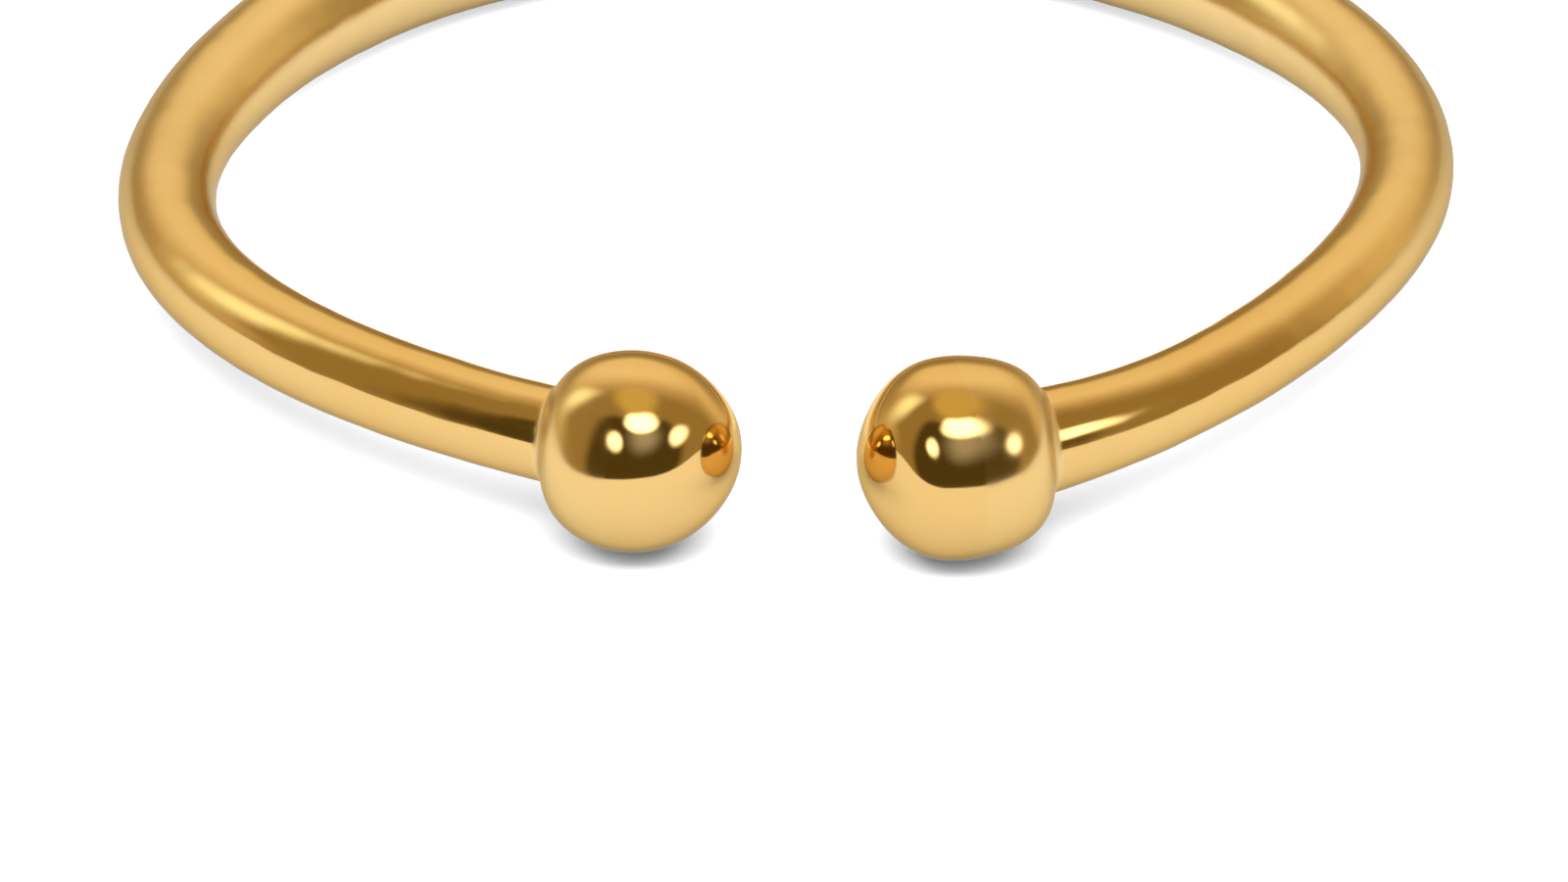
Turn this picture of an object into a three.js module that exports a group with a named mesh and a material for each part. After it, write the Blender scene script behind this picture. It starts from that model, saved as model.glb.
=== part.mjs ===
// Open finger ring: one round wire, bent almost to a full circle and thicker at the back,
// with a solid ball at each end. Wire and balls are one piece of metal.
// Units are millimetres. +Z is up, +X is the ring's right and -Y is its open front.
// The ring lies as it rests by itself on a level surface: on both balls and on the back of
// the wire. The origin is on that surface, under the middle of the ring.

import * as THREE from 'three';

// ---- Driving dimensions -------------------------------------------------------------------

const FINGER_HOLE = 17.3; // mean diameter of the hole
const WIRE_AT_FRONT = 1.43; // diameter of the wire beside the balls
const WIRE_AT_BACK = 1.98; // diameter of the wire opposite the opening
const WIRE_LOPSIDED = 0.04; // how much thicker the left side is, and how much thinner the right
const BACK_SHIFT = 0.17; // how far the back was pushed to the ring's right in bending
const BACK_POWER = 3; // higher keeps the thickening and the push closer to the back
const CREASE = 0.12; // depth over which ball and wire melt into each other
const FLARE_SPREAD = 12.4; // degrees of turn over which the wire's flare at a ball dies out

// A turn is an angle in degrees about the ring's middle, from the front, growing to the left.
// Bending by hand leaves gentle bulges and straighter stretches between them. They die out
// round the back, which is a plain arc.
const BULGES = { count: 4, depth: 0.227, turn: 78.2, plainFrom: 60 };

// Each ball is a sphere filed by hand to a blunt nose that faces the other ball. Its nose
// points to the ring's right where `across` is 1 and to the left where it is -1, level, at
// `heading` degrees forward of straight across. The wire flares on its way into the ball, by
// `flare` at the ball's middle. `long` to `pinch` are parts of the radius: longer along the
// nose's axis, fatter towards the nose, squared into a barrel, and pinched between shoulder
// and nose.
const LEFT_BALL = {
  turn: 13.8,
  across: 1,
  heading: 10,
  radius: 1.53,
  flare: 0.03,
  long: -0.007,
  egg: 0.026,
  barrel: -0.01,
  pinch: 0.008,
};
const RIGHT_BALL = {
  turn: 344.8,
  across: -1,
  heading: 10,
  radius: 1.545,
  flare: 0.145,
  long: -0.02,
  egg: 0.021,
  barrel: -0.024,
  pinch: 0.019,
};
const BALLS = [LEFT_BALL, RIGHT_BALL];

// ---- Fineness of the faceted skin -----------------------------------------------------------

const SIDES = 28; // corners of every cross-section, a multiple of four
const BALL_STEP = 8; // degrees between sections over a ball, as seen from its middle
const NECK_ANGLE = 168; // where the ball's sections give way to the wire's
const NECK_STEP = 0.12; // how much wider each gap between the first sections of wire gets
const NECK_STEPS = 3; // how many such gaps follow a ball
const WIRE_SECTIONS = 84; // evenly spaced sections between the two necks

// ---- Centreline and wire --------------------------------------------------------------------

const FULL_TURN = 360;
const BACK_TURN = 180;
const RING_RADIUS = (FINGER_HOLE + (WIRE_AT_FRONT + WIRE_AT_BACK) / 2) / 2;
const UP = new THREE.Vector3(0, 0, 1);
const radians = THREE.MathUtils.degToRad;
const degrees = THREE.MathUtils.radToDeg;

// A share that grows from 0 at the front to 1 at the back.
function towardsBack(turn) {
  return ((1 - Math.cos(radians(turn))) / 2) ** BACK_POWER;
}

function centreAt(turn) {
  const awayFromFront = Math.min(turn, FULL_TURN - turn);
  const fading = 1 - THREE.MathUtils.smoothstep(awayFromFront, BULGES.plainFrom, BACK_TURN);
  const bulge = fading * BULGES.depth * Math.cos(BULGES.count * radians(turn - BULGES.turn));
  const reach = RING_RADIUS + bulge;
  const angle = radians(turn);
  const toTheRight = BACK_SHIFT * towardsBack(turn) - Math.sin(angle) * reach;
  return new THREE.Vector3(toTheRight, -Math.cos(angle) * reach, 0);
}

function nearestBall(turn) {
  return turn < BACK_TURN ? LEFT_BALL : RIGHT_BALL;
}

function headingAt(turn) {
  const halfStep = 0.01;
  return centreAt(turn + halfStep).sub(centreAt(turn - halfStep)).normalize();
}

function wireRadiusAt(turn) {
  const diameter = THREE.MathUtils.lerp(WIRE_AT_FRONT, WIRE_AT_BACK, towardsBack(turn));
  const ball = nearestBall(turn);
  const flare = ball.flare * Math.exp(-(((turn - ball.turn) / FLARE_SPREAD) ** 2));
  return (diameter + WIRE_LOPSIDED * Math.sin(radians(turn))) / 2 + flare;
}

// ---- Balls ----------------------------------------------------------------------------------

function ballCentre(ball) {
  return centreAt(ball.turn);
}

function noseDirection(ball) {
  const heading = radians(ball.heading);
  return new THREE.Vector3(ball.across * Math.cos(heading), -Math.sin(heading), 0);
}

// Distance from the ball's middle to its skin, at an angle in radians off the nose.
function ballRadiusAt(ball, angle) {
  const shape =
    1 +
    ball.long * Math.cos(2 * angle) +
    ball.egg * Math.cos(3 * angle) +
    ball.barrel * Math.cos(4 * angle) +
    ball.pinch * Math.cos(5 * angle);
  return ball.radius * shape;
}

function insideBall(ball, point) {
  const offset = point.clone().sub(ballCentre(ball));
  return offset.length() < ballRadiusAt(ball, offset.angleTo(noseDirection(ball)));
}

// Halves the span between a value where the test holds and one where it fails.
function lastThatHolds(test, holds, fails) {
  let [good, bad] = [holds, fails];
  for (let halving = 0; halving < 40; halving += 1) {
    const middle = (good + bad) / 2;
    if (test(middle)) {
      good = middle;
    } else {
      bad = middle;
    }
  }
  return good;
}

// How far a ball's skin is from a point along a direction, or zero if the point is outside.
function ballReach(ball, point, direction) {
  if (!insideBall(ball, point)) {
    return 0;
  }
  const pointAt = (distance) => point.clone().addScaledVector(direction, distance);
  return lastThatHolds((distance) => insideBall(ball, pointAt(distance)), 0, 3 * ball.radius);
}

// The turn where the centreline comes out through the ball's nose.
function noseTurn(ball) {
  const beyond = ball.turn - ball.across * 2 * degrees(ball.radius / RING_RADIUS);
  return lastThatHolds((turn) => insideBall(ball, centreAt(turn)), ball.turn, beyond);
}

// Half the ball's thickness across its axis, at the widest.
function ballGirth(ball) {
  let girth = 0;
  for (let angle = 60; angle <= 120; angle += 1) {
    girth = Math.max(girth, ballRadiusAt(ball, radians(angle)) * Math.sin(radians(angle)));
  }
  return girth;
}

// ---- Skin -----------------------------------------------------------------------------------

// The larger of two numbers, rounded off where they are closer than `blend`.
function smoothMax(first, second, blend) {
  const closeness = Math.max(blend - Math.abs(first - second), 0) / blend;
  return Math.max(first, second) + (closeness ** 2 * blend) / 4;
}

// One cross-section: a loop of points on the skin, around the centreline at that turn.
function sectionAt(turn) {
  const ball = nearestBall(turn);
  const towardsNose = ball.across * (turn - ball.turn) < 0;
  const centre = centreAt(turn);
  const outward = headingAt(turn).cross(UP).negate();
  const wire = wireRadiusAt(turn);
  const loop = [];
  for (let side = 0; side < SIDES; side += 1) {
    const angle = (side / SIDES) * 2 * Math.PI;
    const direction = outward.clone().multiplyScalar(Math.cos(angle));
    direction.addScaledVector(UP, Math.sin(angle));
    const ballSkin = ballReach(ball, centre, direction);
    const reach = towardsNose ? ballSkin : smoothMax(wire, ballSkin, CREASE);
    loop.push(centre.clone().addScaledVector(direction, reach));
  }
  return loop;
}

// Turns of the sections from one ball's nose to the end of its neck.
function turnsOverBall(ball) {
  const nose = noseTurn(ball);
  const halfLength = Math.abs(ball.turn - nose);
  const turns = [];
  for (let angle = BALL_STEP; angle <= NECK_ANGLE; angle += BALL_STEP) {
    turns.push(ball.turn - ball.across * halfLength * Math.cos(radians(angle)));
  }
  for (let step = 1; step <= NECK_STEPS; step += 1) {
    turns.push(turns.at(-1) + ball.across * degrees(NECK_STEP / RING_RADIUS) * step);
  }
  return turns;
}

function allTurns() {
  const leftTurns = turnsOverBall(LEFT_BALL);
  const rightTurns = turnsOverBall(RIGHT_BALL).reverse();
  const start = leftTurns.at(-1);
  const span = rightTurns[0] - start;
  const wireTurns = [];
  for (let section = 1; section < WIRE_SECTIONS; section += 1) {
    wireTurns.push(start + (span * section) / WIRE_SECTIONS);
  }
  return [...leftTurns, ...wireTurns, ...rightTurns];
}

// Skins a row of equal loops, closed by a point at each end.
function loftedSkin(firstTip, loops, lastTip) {
  const points = [firstTip, ...loops.flat(), lastTip];
  const lastIndex = points.length - 1;
  const corner = (loop, side) => 1 + loop * SIDES + (side % SIDES);
  const faces = [];
  for (let side = 0; side < SIDES; side += 1) {
    faces.push(0, corner(0, side + 1), corner(0, side));
    for (let loop = 0; loop < loops.length - 1; loop += 1) {
      const [a, b] = [corner(loop, side), corner(loop, side + 1)];
      const [c, d] = [corner(loop + 1, side + 1), corner(loop + 1, side)];
      faces.push(a, b, c, a, c, d);
    }
    faces.push(lastIndex, corner(loops.length - 1, side), corner(loops.length - 1, side + 1));
  }
  const skin = new THREE.BufferGeometry().setFromPoints(points);
  skin.setIndex(faces);
  skin.computeVertexNormals();
  return skin;
}

// ---- Rest -----------------------------------------------------------------------------------

// The level surface touches both balls and the back of the wire. Its unit normal n and the
// height h of the ring's middle fit n . centre + h = height at all three, where height is the
// ball's girth or the wire's radius.
function restingNormal() {
  const contacts = [...BALLS.map(ballCentre), centreAt(BACK_TURN)];
  const places = new THREE.Matrix3().set(...contacts.flatMap(({ x, y }) => [x, y, 1]));
  const heights = new THREE.Vector3(...BALLS.map(ballGirth), wireRadiusAt(BACK_TURN));
  const slope = heights.applyMatrix3(places.invert());
  return new THREE.Vector3(slope.x, slope.y, Math.sqrt(1 - slope.x ** 2 - slope.y ** 2));
}

// Moves a group so that its box stands on the surface, with its middle over the origin.
function standOnOrigin(group) {
  const box = new THREE.Box3().setFromObject(group, true);
  const middle = box.getCenter(new THREE.Vector3());
  group.position.sub(new THREE.Vector3(middle.x, middle.y, box.min.z));
}

// ---- Ring -----------------------------------------------------------------------------------

function ballEndBand() {
  const [leftTip, rightTip] = BALLS.map((ball) => centreAt(noseTurn(ball)));
  const skin = loftedSkin(leftTip, allTurns().map(sectionAt), rightTip);
  const gold = new THREE.MeshStandardMaterial({ color: '#edc27b', metalness: 1, roughness: 0.1 });
  const mesh = new THREE.Mesh(skin, gold);
  mesh.name = 'ball_end_band';
  return mesh;
}

const ring = new THREE.Group();
ring.add(ballEndBand());
ring.quaternion.setFromUnitVectors(restingNormal(), UP);
standOnOrigin(ring);

export default ring;
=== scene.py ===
"""Looks of the open finger ring: a finely lofted skin, polished gold, a plain studio and a camera."""

import math

import bpy
import numpy as np
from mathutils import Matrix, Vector, noise


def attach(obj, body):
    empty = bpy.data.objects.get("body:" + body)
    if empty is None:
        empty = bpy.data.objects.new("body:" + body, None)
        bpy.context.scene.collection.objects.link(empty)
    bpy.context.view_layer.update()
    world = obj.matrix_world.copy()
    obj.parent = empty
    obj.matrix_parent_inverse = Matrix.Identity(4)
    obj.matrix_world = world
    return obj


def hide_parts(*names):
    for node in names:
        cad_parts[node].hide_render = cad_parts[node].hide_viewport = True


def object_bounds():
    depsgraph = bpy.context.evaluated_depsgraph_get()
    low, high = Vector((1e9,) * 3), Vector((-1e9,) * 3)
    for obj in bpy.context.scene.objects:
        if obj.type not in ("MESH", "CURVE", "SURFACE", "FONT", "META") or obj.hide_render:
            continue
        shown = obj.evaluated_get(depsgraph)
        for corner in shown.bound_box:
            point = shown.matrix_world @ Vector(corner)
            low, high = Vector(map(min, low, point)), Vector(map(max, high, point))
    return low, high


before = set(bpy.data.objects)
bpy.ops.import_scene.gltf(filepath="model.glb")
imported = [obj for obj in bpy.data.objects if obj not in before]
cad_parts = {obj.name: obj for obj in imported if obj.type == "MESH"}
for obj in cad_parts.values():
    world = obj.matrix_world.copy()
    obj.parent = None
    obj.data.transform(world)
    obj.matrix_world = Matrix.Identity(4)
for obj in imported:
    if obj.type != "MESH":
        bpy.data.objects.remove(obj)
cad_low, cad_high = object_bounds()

MM = 0.001

# ---- The ring's driving dimensions, in millimetres and degrees, as in the CAD part ----------

FINGER_HOLE = 17.3  # mean diameter of the hole
WIRE_AT_FRONT = 1.43  # diameter of the wire beside the balls
WIRE_AT_BACK = 1.98  # diameter of the wire opposite the opening
WIRE_LOPSIDED = 0.04  # how much thicker the left side is, and how much thinner the right
BACK_SHIFT = 0.17  # how far the back was pushed to the ring's right in bending
BACK_POWER = 3  # higher keeps the thickening and the push closer to the back
CREASE = 0.12  # depth over which ball and wire melt into each other
FLARE_SPREAD = 12.4  # degrees of turn over which the wire's flare at a ball dies out

# A turn is an angle about the ring's middle, from the front, growing to the left. Bending by
# hand leaves gentle bulges, which die out round the back.
BULGES = {"count": 4, "depth": 0.227, "turn": 78.2, "plain_from": 60}

# Each ball is a sphere filed to a blunt nose, which points to the ring's right where `across`
# is 1 and to the left where it is -1, `heading` degrees forward of straight across. The wire
# flares on its way into it, by `flare` at the ball's middle. `long` to `pinch` are parts of the
# radius: longer along the nose's axis, fatter towards the nose, squared and pinched.
BALLS = [
    {"across": 1, "turn": 13.8, "heading": 10, "radius": 1.53, "flare": 0.03,
     "long": -0.007, "egg": 0.026, "barrel": -0.01, "pinch": 0.008},
    {"across": -1, "turn": 344.8, "heading": 10, "radius": 1.545, "flare": 0.145,
     "long": -0.02, "egg": 0.021, "barrel": -0.024, "pinch": 0.019},
]

# Soft flats and waves left by filing and polishing by hand, at most a tenth of a millimetre
# deep or so. A flat of negative depth is a soft swell. Azimuth 0 looks out of the ring's open
# front, and grows to the right; angles are in degrees.
FLAT_COLUMNS = ("ball", "azimuth", "elevation", "spread", "depth")
FLATS = [
    (0, -45, 22, 28, 0.11),
    (0, 49, 9, 26, 0.07),
    (0, 85, 24, 34, -0.05),
    (1, -8, 32, 32, 0.05),
    (1, -48, 8, 25, 0.075),
    (1, 66, 14, 28, 0.06),
]
WAVE_COLUMNS = ("size", "depth")
WAVES = [
    (2.4, 0.02),
    (0.5, 0.005),
]

# A neck's satin and its painted highlight of paler gold fade out as the ball's skin gets this far
# inside the wire's, or outside it.
NECK_ON_WIRE = 0.2
NECK_ON_BALL = 0.5

FULL_TURN = 360
BACK_TURN = 180
RING_RADIUS = (FINGER_HOLE + (WIRE_AT_FRONT + WIRE_AT_BACK) / 2) / 2

# ---- Fineness of the skin, in millimetres and degrees ---------------------------------------

SIDES = 96  # corners of every cross-section
BALL_STEP = 1.5  # degrees between sections over a ball, as seen from its middle
NECK_ANGLE = 168  # where the ball's sections give way to the neck's
NECK_STEP = 0.03  # distance between the neck's sections
NECK_STEPS = 16  # how many of them follow a ball
WIRE_SECTIONS = 560  # evenly spaced steps between the two necks
HEADING_STEP = 0.01  # degrees to each side for telling the wire's direction
HALVINGS = 40  # of the span in which a ball's skin is searched for
GIRTH_FROM = 60  # degrees off the nose between which a ball is widest
GIRTH_TO = 120


def named_rows(columns, table):
    return [dict(zip(columns, row)) for row in table]


def smoothstep(value, low, high):
    share = np.clip((value - low) / (high - low), 0, 1)
    return share * share * (3 - 2 * share)


# ---- Centreline and wire --------------------------------------------------------------------


def towards_back(turn):
    """A share that grows from 0 at the front to 1 at the back."""
    return ((1 - np.cos(np.radians(turn))) / 2) ** BACK_POWER


def centre_at(turn):
    """Points of the wire's centreline, in the ring's own level plane."""
    turn = np.asarray(turn, float)
    away_from_front = np.minimum(turn, FULL_TURN - turn)
    fading = 1 - smoothstep(away_from_front, BULGES["plain_from"], BACK_TURN)
    phase = np.radians(BULGES["count"] * (turn - BULGES["turn"]))
    reach = RING_RADIUS + fading * BULGES["depth"] * np.cos(phase)
    angle = np.radians(turn)
    to_the_right = BACK_SHIFT * towards_back(turn) - np.sin(angle) * reach
    return np.stack([to_the_right, -np.cos(angle) * reach, 0 * reach], axis=-1)


def wire_radius_at(turn):
    diameter = WIRE_AT_FRONT + (WIRE_AT_BACK - WIRE_AT_FRONT) * towards_back(turn)
    flare = sum(
        ball["flare"] * np.exp(-(((turn - ball["turn"]) / FLARE_SPREAD) ** 2)) for ball in BALLS
    )
    return (diameter + WIRE_LOPSIDED * np.sin(np.radians(turn))) / 2 + flare


def directions_around(turns, angles):
    """Directions square to the wire at each turn, at angles from level outward over upward."""
    heading = centre_at(turns + HEADING_STEP) - centre_at(turns - HEADING_STEP)
    heading /= np.linalg.norm(heading, axis=1)[:, None]
    up = np.array([0.0, 0.0, 1.0])
    outward = -np.cross(heading, up)
    return outward[:, None] * np.cos(angles)[:, None] + up * np.sin(angles)[:, None]


# ---- Balls ----------------------------------------------------------------------------------


def ball_radius_at(ball, angle):
    """Distance from a ball's middle to its skin, at an angle in radians off its nose."""
    shape = (
        1
        + ball["long"] * np.cos(2 * angle)
        + ball["egg"] * np.cos(3 * angle)
        + ball["barrel"] * np.cos(4 * angle)
        + ball["pinch"] * np.cos(5 * angle)
    )
    return ball["radius"] * shape


def inside_ball(ball, points):
    heading = math.radians(ball["heading"])
    nose = np.array([ball["across"] * math.cos(heading), -math.sin(heading), 0])
    offset = points - centre_at(ball["turn"])
    distance = np.linalg.norm(offset, axis=-1)
    not_zero = 1e-9
    cosine = (offset @ nose) / np.maximum(distance, not_zero)
    return distance < ball_radius_at(ball, np.arccos(np.clip(cosine, -1, 1)))


def last_that_holds(test, holds, fails):
    """Halves the spans between values where the test holds and values where it fails."""
    good = np.array(holds, float)
    bad = np.array(fails, float)
    for _ in range(HALVINGS):
        middle = (good + bad) / 2
        passed = test(middle)
        good = np.where(passed, middle, good)
        bad = np.where(passed, bad, middle)
    return good


def ball_reach(ball, points, directions):
    """How far the ball's skin is from each point along its direction, zero from outside."""
    zeros = np.zeros(points.shape[:-1])
    well_outside = 3 * ball["radius"]
    reach = last_that_holds(
        lambda distance: inside_ball(ball, points + directions * distance[..., None]),
        zeros,
        zeros + well_outside,
    )
    return np.where(inside_ball(ball, points), reach, 0)


def nose_turn(ball):
    """The turn where the centreline comes out through the ball's nose."""
    beyond = ball["turn"] - ball["across"] * 2 * math.degrees(ball["radius"] / RING_RADIUS)
    turn = last_that_holds(lambda turn: inside_ball(ball, centre_at(turn)), ball["turn"], beyond)
    return float(turn)


def ball_girth(ball):
    """Half the ball's thickness across its axis, at the widest."""
    angles = np.radians(np.arange(GIRTH_FROM, GIRTH_TO + 1))
    return float((ball_radius_at(ball, angles) * np.sin(angles)).max())


# ---- Skin -----------------------------------------------------------------------------------


def smooth_max(first, second, blend):
    """The larger of two values, rounded off where they are closer than blend."""
    closeness = np.maximum(blend - np.abs(first - second), 0) / blend
    return np.maximum(first, second) + closeness ** 2 * blend / 4


def turns_over_ball(ball):
    """Turns of the sections from a ball's nose to the end of its neck."""
    half_length = abs(ball["turn"] - nose_turn(ball))
    angles = np.radians(np.arange(BALL_STEP, NECK_ANGLE + BALL_STEP / 2, BALL_STEP))
    turns = ball["turn"] - ball["across"] * half_length * np.cos(angles)
    step = math.degrees(NECK_STEP / RING_RADIUS)
    neck = turns[-1] + ball["across"] * step * np.arange(1, NECK_STEPS + 1)
    return np.concatenate([turns, neck])


def all_turns():
    left, right = (turns_over_ball(ball) for ball in BALLS)
    wire = np.linspace(left[-1], right[-1], WIRE_SECTIONS + 1)[1:-1]
    return np.concatenate([left, wire, right[::-1]])


def press_flats(points, on_ball):
    """Sinks the soft flats into the balls, and raises the swells."""
    for flat in named_rows(FLAT_COLUMNS, FLATS):
        ball = BALLS[flat["ball"]]
        azimuth, elevation = math.radians(flat["azimuth"]), math.radians(flat["elevation"])
        facing = np.array([
            math.sin(azimuth) * math.cos(elevation),
            -math.cos(azimuth) * math.cos(elevation),
            math.sin(elevation),
        ])
        offset = points - centre_at(ball["turn"])
        distance = np.linalg.norm(offset, axis=-1)
        away = offset / distance[..., None]
        angle = np.degrees(np.arccos(np.clip(away @ facing, -1, 1)))
        near = distance < 2 * ball["radius"]
        push = flat["depth"] * np.exp(-((angle / flat["spread"]) ** 2)) * on_ball * near
        points = points - away * push[..., None]
    return points


def wave_depths(points):
    """How far hand polishing left the skin above or below its even shape."""
    flat_list = points.reshape(-1, 3)
    depths = np.zeros(len(flat_list))
    for wave in named_rows(WAVE_COLUMNS, WAVES):
        heights = [noise.noise(Vector(point)) for point in (flat_list / wave["size"]).tolist()]
        depths += wave["depth"] * np.array(heights)
    return depths.reshape(points.shape[:-1])


def ring_skin():
    """The sections' points, with how much of each is ball and neck, and its place in the wire."""
    turns = all_turns()
    angles = np.arange(SIDES) / SIDES * 2 * math.pi
    directions = directions_around(turns, angles)
    starts = np.broadcast_to(centre_at(turns)[:, None], directions.shape)
    wire = np.broadcast_to(wire_radius_at(turns)[:, None], directions.shape[:2])
    reach = np.array(wire)
    on_ball = np.zeros(reach.shape)
    in_neck = np.zeros(reach.shape)
    for ball in BALLS:
        near = np.abs(turns - ball["turn"]) < BACK_TURN / 2
        towards_nose = near & (ball["across"] * (turns - ball["turn"]) < 0)
        skin = ball_reach(ball, starts[near], directions[near])
        outside_wire = skin - wire[near]
        reach[near] = smooth_max(wire[near], skin, CREASE)
        on_ball[near] = smoothstep(outside_wire, -CREASE, CREASE)
        neck_depth = np.where(outside_wire > 0, NECK_ON_BALL, NECK_ON_WIRE)
        in_neck[near] = np.exp(-((outside_wire / neck_depth) ** 2))
        reach[towards_nose] = skin[towards_nose[near]]
        on_ball[towards_nose] = 1
        in_neck[towards_nose] = 0
    reach += wave_depths(starts + directions * reach[..., None])
    points = press_flats(starts + directions * reach[..., None], on_ball)
    along = np.broadcast_to(np.radians(turns)[:, None] * RING_RADIUS, reach.shape)
    in_wire = np.stack([along, reach * np.cos(angles), reach * np.sin(angles)], axis=-1)
    return points, on_ball, in_neck, in_wire


# ---- Ring -----------------------------------------------------------------------------------


def resting_turn():
    """The turn that sets both balls and the back of the wire on a level surface."""
    middles = np.array([centre_at(ball["turn"]) for ball in BALLS] + [centre_at(BACK_TURN)])
    thicknesses = [ball_girth(ball) for ball in BALLS] + [wire_radius_at(BACK_TURN)]
    places = np.column_stack([middles[:, 0], middles[:, 1], np.ones(3)])
    slope_x, slope_y, _ = np.linalg.solve(places, thicknesses)
    normal = Vector((slope_x, slope_y, math.sqrt(1 - slope_x ** 2 - slope_y ** 2)))
    return normal.rotation_difference(Vector((0, 0, 1)))


def laid_to_rest(points):
    """Points turned as the ring rests, in metres, and scaled to just fit the CAD model's box."""
    turned = points @ np.array(resting_turn().to_matrix()).T
    low, high = turned.min(axis=0), turned.max(axis=0)
    turned -= [(low[0] + high[0]) / 2, (low[1] + high[1]) / 2, low[2]]
    room = (np.array(cad_high) - np.array(cad_low)) / MM
    return turned * (MM * min(room / (high - low)))


def lofted_mesh(name, points, first_tip, last_tip):
    """Skins a row of equal loops with a smooth mesh, closed by a point at each end."""
    sections = len(points)
    vertices = np.vstack([first_tip, points.reshape(-1, 3), last_tip])
    corner = 1 + np.arange(sections * SIDES).reshape(sections, SIDES)
    after = np.roll(corner, -1, axis=1)
    quads = np.stack([corner[:-1], after[:-1], after[1:], corner[1:]], axis=-1).reshape(-1, 4)
    first_fan = np.stack([np.zeros(SIDES, int), after[0], corner[0]], axis=-1)
    last_fan = np.stack([np.full(SIDES, len(vertices) - 1), corner[-1], after[-1]], axis=-1)
    mesh = bpy.data.meshes.new(name)
    mesh.from_pydata(vertices.tolist(), [], first_fan.tolist() + quads.tolist() + last_fan.tolist())
    mesh.polygons.foreach_set("use_smooth", [True] * len(mesh.polygons))
    mesh.update()
    return mesh


def make_ring():
    points, on_ball, in_neck, in_wire = ring_skin()
    first_tip, last_tip = points[0].mean(axis=0), points[-1].mean(axis=0)
    placed = laid_to_rest(np.vstack([first_tip, points.reshape(-1, 3), last_tip]))
    mesh = lofted_mesh("polished_band", placed[1:-1].reshape(points.shape), placed[0], placed[-1])
    for name, shares, at_tips in (("on_ball", on_ball, 1), ("in_neck", in_neck, 0)):
        share = mesh.attributes.new(name, "FLOAT", "POINT")
        share.data.foreach_set("value", np.concatenate([[at_tips], shares.ravel(), [at_tips]]))
    place = mesh.attributes.new("in_wire", "FLOAT_VECTOR", "POINT")
    place.data.foreach_set("vector", np.concatenate([np.zeros(3), in_wire.ravel(), np.zeros(3)]))
    ring = bpy.data.objects.new("polished_band", mesh)
    bpy.context.scene.collection.objects.link(ring)
    return ring


# ---- Node helpers ---------------------------------------------------------------------------

# The Mix node has sockets for every kind of value. These are the ones that mix colours.
MIX_SHARE = 0
MIX_FIRST = 6
MIX_SECOND = 7
MIX_RESULT = 2


class Nodes:
    """Short ways to add and join the nodes of one tree."""

    def __init__(self, tree):
        self.tree = tree
        tree.nodes.clear()

    def add(self, kind, settings=None, **inputs):
        node = self.tree.nodes.new(kind)
        for key, value in (settings or {}).items():
            setattr(node, key, value)
        for key, value in inputs.items():
            self.feed(node.inputs[key.replace("_", " ")], value)
        return node

    def feed(self, socket, value):
        if isinstance(value, bpy.types.NodeSocket):
            self.tree.links.new(value, socket)
        else:
            socket.default_value = value

    def math(self, operation, *values):
        node = self.add("ShaderNodeMath", {"operation": operation})
        for socket, value in zip(node.inputs, values):
            self.feed(socket, value)
        return node.outputs[0]

    def rise(self, value, low, high, to_low=0.0, to_high=1.0):
        """Goes smoothly from to_low to to_high as value goes from low to high."""
        node = self.add("ShaderNodeMapRange", {"interpolation_type": "SMOOTHSTEP"})
        for key, given in (("Value", value), ("From Min", low), ("From Max", high),
                           ("To Min", to_low), ("To Max", to_high)):
            self.feed(node.inputs[key], given)
        return node.outputs["Result"]

    def mix(self, share, first, second):
        node = self.add("ShaderNodeMix", {"data_type": "RGBA"})
        self.feed(node.inputs[MIX_SHARE], share)
        self.feed(node.inputs[MIX_FIRST], first)
        self.feed(node.inputs[MIX_SECOND], second)
        return node.outputs[MIX_RESULT]

    def noise(self, place, scale, detail):
        """A soft random value of about a half that changes from place to place."""
        node = self.add("ShaderNodeTexNoise", Vector=place, Scale=scale, Detail=detail)
        return node.outputs["Fac"]

    def attribute(self, name, output):
        return self.add("ShaderNodeAttribute", {"attribute_name": name}).outputs[output]


# ---- Polished gold --------------------------------------------------------------------------

GOLD = (0.83, 0.55, 0.206, 1)
GOLD_WARM = (0.81, 0.52, 0.18, 1)
# Painted light: a paler gold that lightens the back of the wire.
PAINTED_LIGHT_GOLD_AT_BACK = (0.87, 0.61, 0.265, 1)
# Painted highlight: a paler gold in the necks.
PAINTED_HIGHLIGHT_GOLD_IN_NECK = (0.90, 0.68, 0.32, 1)
EDGE_TINT = (0.66, 0.59, 0.47, 1)

# The wire turns satin between these two places, in metres along Y, and takes a paler gold there that is
# painted light.
BACK_FROM = -0.007
BACK_TO = 0.001
FRONT_ROUGHNESS = 0.10
BACK_ROUGHNESS = 0.24
BALL_ROUGHNESS = 0.07

# These two come on top of the others.
NECK_ROUGHNESS = 0.45
WORN_ROUGHNESS = 0.03

# Marks' sizes are in marks a metre, except the drawn lines', in marks a millimetre. Depths are
# in metres. Tone and wear go from none to full between two values of their noise.
TONE_SCALE = 220.0
TONE_DETAIL = 3.0
TONE_FROM = 0.35
TONE_TO = 0.7
WEAR_SCALE = 900.0
WEAR_DETAIL = 4.0
WEAR_FROM = 0.4
WEAR_TO = 0.75
RIPPLE_SCALE = 6500.0
RIPPLE_DETAIL = 2.0
RIPPLE_DEPTH = 0.25e-6
DRAWN_SCALE = 14.0
DRAWN_DETAIL = 3.0
DRAWN_SHORTENING = (0.03, 1.0, 1.0)
DRAWN_DEPTH = 0.9e-6


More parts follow.
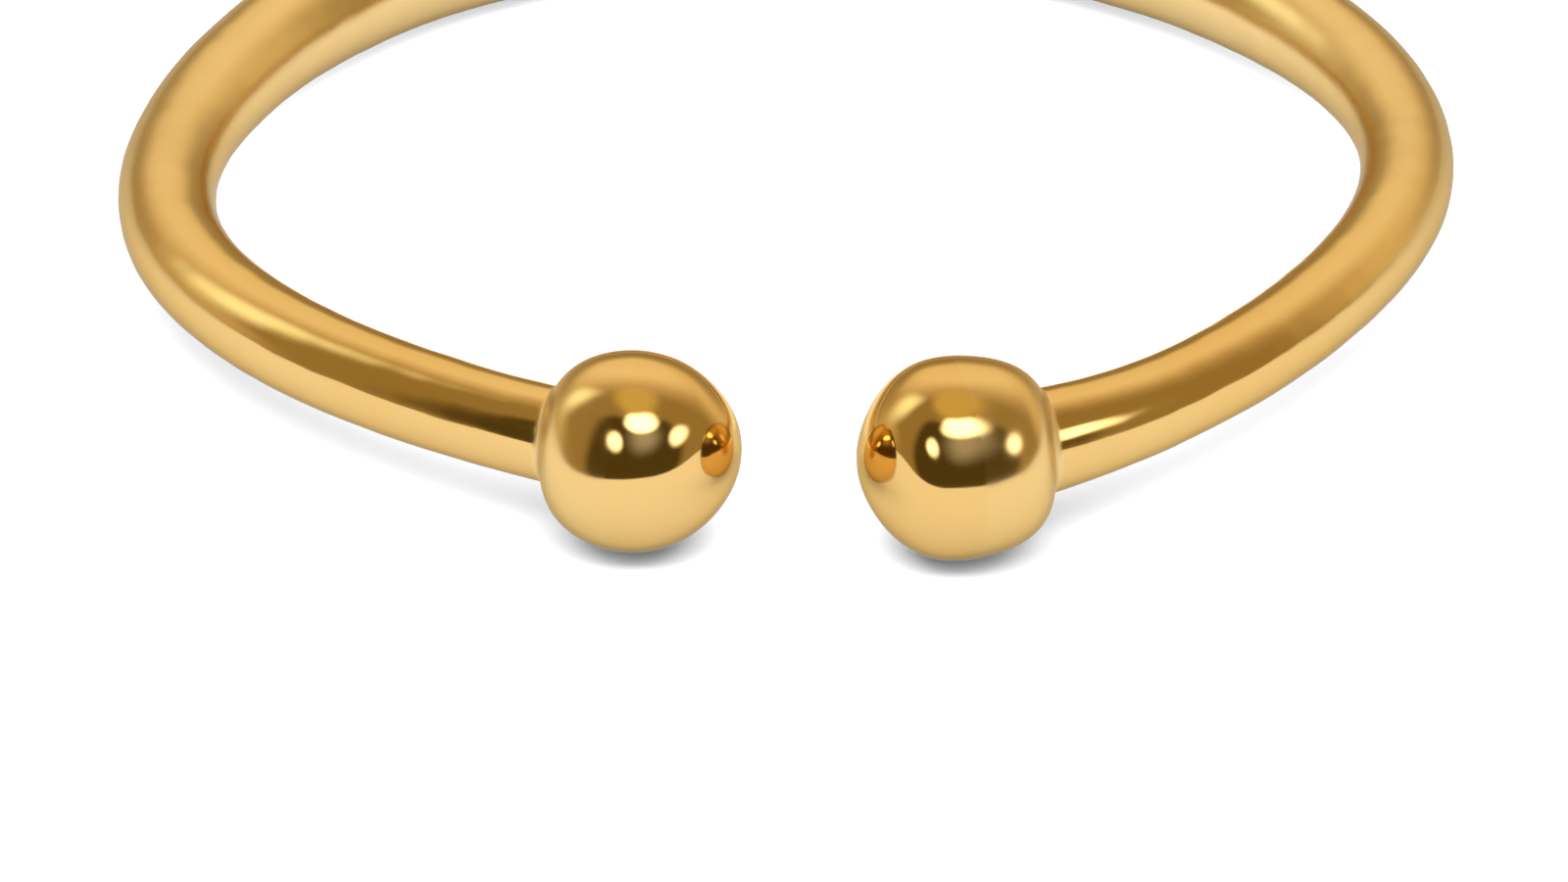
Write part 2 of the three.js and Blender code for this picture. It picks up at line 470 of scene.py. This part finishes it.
def gold_colour(nodes, place, depth, in_neck):
    """A slightly uneven tone, with painted light: paler gold at the satin back, and a painted highlight
    of paler gold in the necks.
    """
    tone = nodes.noise(place, TONE_SCALE, TONE_DETAIL)
    colour = nodes.mix(nodes.rise(tone, TONE_FROM, TONE_TO), GOLD, GOLD_WARM)
    # Painted light: paler gold towards the back.
    colour = nodes.mix(nodes.rise(depth, BACK_FROM, BACK_TO), colour, PAINTED_LIGHT_GOLD_AT_BACK)
    # Painted highlight: paler gold in the necks.
    return nodes.mix(in_neck, colour, PAINTED_HIGHLIGHT_GOLD_IN_NECK)


def gold_roughness(nodes, place, depth, on_ball, in_neck):
    """Mirror-bright balls, a wire that turns satin to the back, satin necks and light wear."""
    on_wire = nodes.rise(depth, BACK_FROM, BACK_TO, FRONT_ROUGHNESS, BACK_ROUGHNESS)
    roughness = nodes.rise(on_ball, 0.0, 1.0, on_wire, BALL_ROUGHNESS)
    roughness = nodes.math("ADD", roughness, nodes.math("MULTIPLY", in_neck, NECK_ROUGHNESS))
    wear = nodes.noise(place, WEAR_SCALE, WEAR_DETAIL)
    return nodes.math("ADD", roughness, nodes.rise(wear, WEAR_FROM, WEAR_TO, 0.0, WORN_ROUGHNESS))


def gold_normal(nodes, place, in_wire, on_ball):
    """Faint ripples all over, and a drawn wire's fine lengthwise lines."""
    ripple = nodes.noise(place, RIPPLE_SCALE, RIPPLE_DETAIL)
    rippled = nodes.add("ShaderNodeBump", Height=ripple, Distance=RIPPLE_DEPTH)
    stretched = nodes.add("ShaderNodeVectorMath", {"operation": "MULTIPLY"})
    nodes.feed(stretched.inputs[0], in_wire)
    nodes.feed(stretched.inputs[1], DRAWN_SHORTENING)
    drawn = nodes.noise(stretched.outputs[0], DRAWN_SCALE, DRAWN_DETAIL)
    lines = nodes.add("ShaderNodeBump", Height=drawn, Distance=DRAWN_DEPTH,
                      Strength=nodes.math("SUBTRACT", 1.0, on_ball),
                      Normal=rippled.outputs["Normal"])
    return lines.outputs["Normal"]


def polished_gold():
    material = bpy.data.materials.new("polished_gold")
    material.use_nodes = True
    nodes = Nodes(material.node_tree)
    place = nodes.add("ShaderNodeTexCoord").outputs["Object"]
    depth = nodes.add("ShaderNodeSeparateXYZ", Vector=place).outputs["Y"]
    on_ball = nodes.attribute("on_ball", "Fac")
    in_neck = nodes.attribute("in_neck", "Fac")
    in_wire = nodes.attribute("in_wire", "Vector")
    shader = nodes.add(
        "ShaderNodeBsdfPrincipled",
        Base_Color=gold_colour(nodes, place, depth, in_neck),
        Metallic=1.0,
        Roughness=gold_roughness(nodes, place, depth, on_ball, in_neck),
        Specular_Tint=EDGE_TINT,
        Normal=gold_normal(nodes, place, in_wire, on_ball),
    )
    nodes.add("ShaderNodeOutputMaterial", Surface=shader.outputs["BSDF"])
    return material


# ---- Studio ---------------------------------------------------------------------------------

# What the gold mirrors, in directions as the ring sees them, in degrees: azimuth 0 is towards
# the camera and grows to the right; elevation is above the floor. Each panel covers those
# before it. It reaches half_wide and half_high from its middle: roundness 2 makes an ellipse
# of it and a higher one a rounded box. Its edge fades over blur, a share of its size.
WALL = (0.37, 0.275, 0.118)
CEILING = (0.72, 0.57, 0.22)
CEILING_FROM = 62
CEILING_TO = 78
PANEL_COLUMNS = (
    "azimuth", "elevation", "half_wide", "half_high", "roundness", "blur", "light",
)
PANELS = [
    # the lit back of the tent, its low wings, and the gap under it
    (178, 40, 62, 34, 3, 0.35, (0.74, 0.60, 0.38)),
    (178, 38, 42, 25, 2, 0.45, (1.02, 0.92, 0.72)),
    (140, 8, 30, 20, 2, 0.50, (0.92, 0.78, 0.49)),
    (-112, 6, 22, 12, 2, 0.50, (0.66, 0.54, 0.32)),
    (180, 2, 50, 15, 4, 0.45, (0.46, 0.38, 0.25)),
    # the tall soft lamp at the back left
    (-113, 35, 12, 17, 2, 0.80, (1.4, 1.48, 1.25)),
    # the dark opening in front, for the camera
    (-1, 28, 66, 34, 4, 0.10, (0.092, 0.068, 0.018)),
    # the glow below the window, and the window above the opening
    (12, 44, 24, 14, 2, 0.80, (0.46, 0.46, 0.48)),
    (9, 61, 36, 10, 3, 0.35, (3.9, 3.9, 3.9)),
    # the two small lamps at the opening's sides
    (-38, 34, 10, 8, 2, 0.50, (2.8, 2.8, 2.8)),
    (64, 28, 11, 9, 2, 0.50, (2.8, 2.8, 2.8)),
]

# What lights the floor and casts the shadows: an even fill from all around, the window's light
# from the front, and a small low lamp that keeps the floor inside the back of the ring white.
# Places and sizes are in metres, the tilt is in degrees up from straight down, the spread in
# degrees and the power in watts.
FILL = 1.75
LAMP_COLUMNS = ("name", "place", "tilt", "wide", "high", "spread", "power")
LAMPS = [
    ("window", (0, -0.242, 0.437), 29, 0.8, 0.16, 180, 2.6),
    ("inner_lamp", (0, -0.004, 0.005), 65, 0.012, 0.002, 130, 0.0017),
]

# The floor is white to the camera. The gold mirrors a duller one that glows, less so from
# the ring's front half to its back. The glow fades between two places in metres along Y.
FLOOR_SIZE = 1.5
FLOOR_SEEN = 0.97
FLOOR_MIRRORED = 0.25
FLOOR_GLOW = 0.5
FLOOR_GLOW_FAR = 0.2
GLOW_FADES_FROM = -0.006
GLOW_FADES_TO = 0.012


def studio_light(nodes):
    """The room that the gold mirrors: walls, a ceiling, lamps and a dark opening."""
    way = nodes.add("ShaderNodeTexCoord").outputs["Generated"]
    parts = nodes.add("ShaderNodeSeparateXYZ", Vector=way).outputs
    forward = nodes.math("MULTIPLY", parts["Y"], -1.0)
    azimuth = nodes.math("DEGREES", nodes.math("ARCTAN2", parts["X"], forward))
    elevation = nodes.math("DEGREES", nodes.math("ARCSINE", parts["Z"]))
    light = nodes.mix(nodes.rise(elevation, CEILING_FROM, CEILING_TO), (*WALL, 1), (*CEILING, 1))
    for panel in named_rows(PANEL_COLUMNS, PANELS):
        turned = nodes.math("SUBTRACT", azimuth, panel["azimuth"])
        aside = nodes.math("WRAP", turned, 180.0, -180.0)
        above = nodes.math("SUBTRACT", elevation, panel["elevation"])
        powers = [
            nodes.math("POWER", nodes.math("ABSOLUTE", nodes.math("DIVIDE", *pair)), panel["roundness"])
            for pair in ((aside, panel["half_wide"]), (above, panel["half_high"]))
        ]
        distance = nodes.math("POWER", nodes.math("ADD", *powers), 1 / panel["roundness"])
        share = nodes.rise(distance, 1 - panel["blur"], 1 + panel["blur"], 1.0, 0.0)
        light = nodes.mix(share, light, (*panel["light"], 1))
    return light


def make_world():
    """The studio as the gold mirrors it. Everything else gets the even fill."""
    world = bpy.data.worlds.new("studio")
    world.use_nodes = True
    nodes = Nodes(world.node_tree)
    mirrored = nodes.add("ShaderNodeLightPath").outputs["Is Glossy Ray"]
    light = nodes.mix(mirrored, (FILL, FILL, FILL, 1), studio_light(nodes))
    background = nodes.add("ShaderNodeBackground", Color=light, Strength=1.0)
    nodes.add("ShaderNodeOutputWorld", Surface=background.outputs["Background"])
    world.cycles.sampling_method = "NONE"
    bpy.context.scene.world = world


def make_lamps():
    """The lamps that light the floor. The gold mirrors the studio's panels instead."""
    for lamp in named_rows(LAMP_COLUMNS, LAMPS):
        data = bpy.data.lights.new(lamp["name"], "AREA")
        data.shape = "RECTANGLE"
        data.size = lamp["wide"]
        data.size_y = lamp["high"]
        data.spread = math.radians(lamp["spread"])
        data.energy = lamp["power"]
        light = bpy.data.objects.new(lamp["name"], data)
        light.location = lamp["place"]
        light.rotation_euler = (math.radians(lamp["tilt"]), 0, 0)
        light.visible_camera = False
        light.visible_glossy = False
        bpy.context.scene.collection.objects.link(light)


def white_floor():
    """White to the camera. What the gold mirrors is duller and glows, less so to the back."""
    material = bpy.data.materials.new("white_floor")
    material.use_nodes = True
    nodes = Nodes(material.node_tree)
    seen = nodes.add("ShaderNodeLightPath").outputs["Is Camera Ray"]
    place = nodes.add("ShaderNodeTexCoord").outputs["Object"]
    depth = nodes.add("ShaderNodeSeparateXYZ", Vector=place).outputs["Y"]
    strength = nodes.rise(depth, GLOW_FADES_FROM, GLOW_FADES_TO, FLOOR_GLOW, FLOOR_GLOW_FAR)
    glow = nodes.add("ShaderNodeEmission", Strength=strength).outputs[0]
    dull = nodes.add("ShaderNodeBsdfDiffuse", Color=(*[FLOOR_MIRRORED] * 3, 1)).outputs[0]
    white = nodes.add("ShaderNodeBsdfDiffuse", Color=(*[FLOOR_SEEN] * 3, 1)).outputs[0]
    mirrored = nodes.add("ShaderNodeAddShader")
    nodes.feed(mirrored.inputs[0], glow)
    nodes.feed(mirrored.inputs[1], dull)
    surface = nodes.add("ShaderNodeMixShader")
    nodes.feed(surface.inputs[0], seen)
    nodes.feed(surface.inputs[1], mirrored.outputs[0])
    nodes.feed(surface.inputs[2], white)
    nodes.add("ShaderNodeOutputMaterial", Surface=surface.outputs[0])
    return material


def make_floor():
    bpy.ops.mesh.primitive_plane_add(size=FLOOR_SIZE)
    floor = bpy.context.object
    floor.name = "floor"
    floor.data.materials.append(white_floor())


# ---- Camera ---------------------------------------------------------------------------------

# The elevation is in degrees, the lens and the sensor are in millimetres, the rest in metres.
AIM = Vector((-0.053, -5.99, 0)) * MM
VIEW_DISTANCE = 195.05 * MM
VIEW_ELEVATION = 29.87
LENS = 294.5
SENSOR_WIDTH = 36
CLIP_NEAR = 0.01
CLIP_FAR = 10


def make_camera():
    """A camera straight in front of the ring's opening, looking down at it."""
    data = bpy.data.cameras.new("camera")
    data.lens = LENS
    data.sensor_width = SENSOR_WIDTH
    data.clip_start = CLIP_NEAR
    data.clip_end = CLIP_FAR
    camera = bpy.data.objects.new("camera", data)
    bpy.context.scene.collection.objects.link(camera)
    elevation = math.radians(VIEW_ELEVATION)
    back = Vector((0, -math.cos(elevation), math.sin(elevation)))
    camera.location = AIM + back * VIEW_DISTANCE
    camera.rotation_mode = "QUATERNION"
    camera.rotation_quaternion = (-back).to_track_quat("-Z", "Y")
    bpy.context.scene.camera = camera


# ---- Putting it together --------------------------------------------------------------------

ring = make_ring()
ring.data.materials.append(polished_gold())
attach(ring, "root")
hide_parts("ball_end_band")
make_floor()
make_world()
make_lamps()
make_camera()
bpy.context.scene.view_settings.view_transform = "Standard"
bpy.context.scene.cycles.caustics_reflective = False
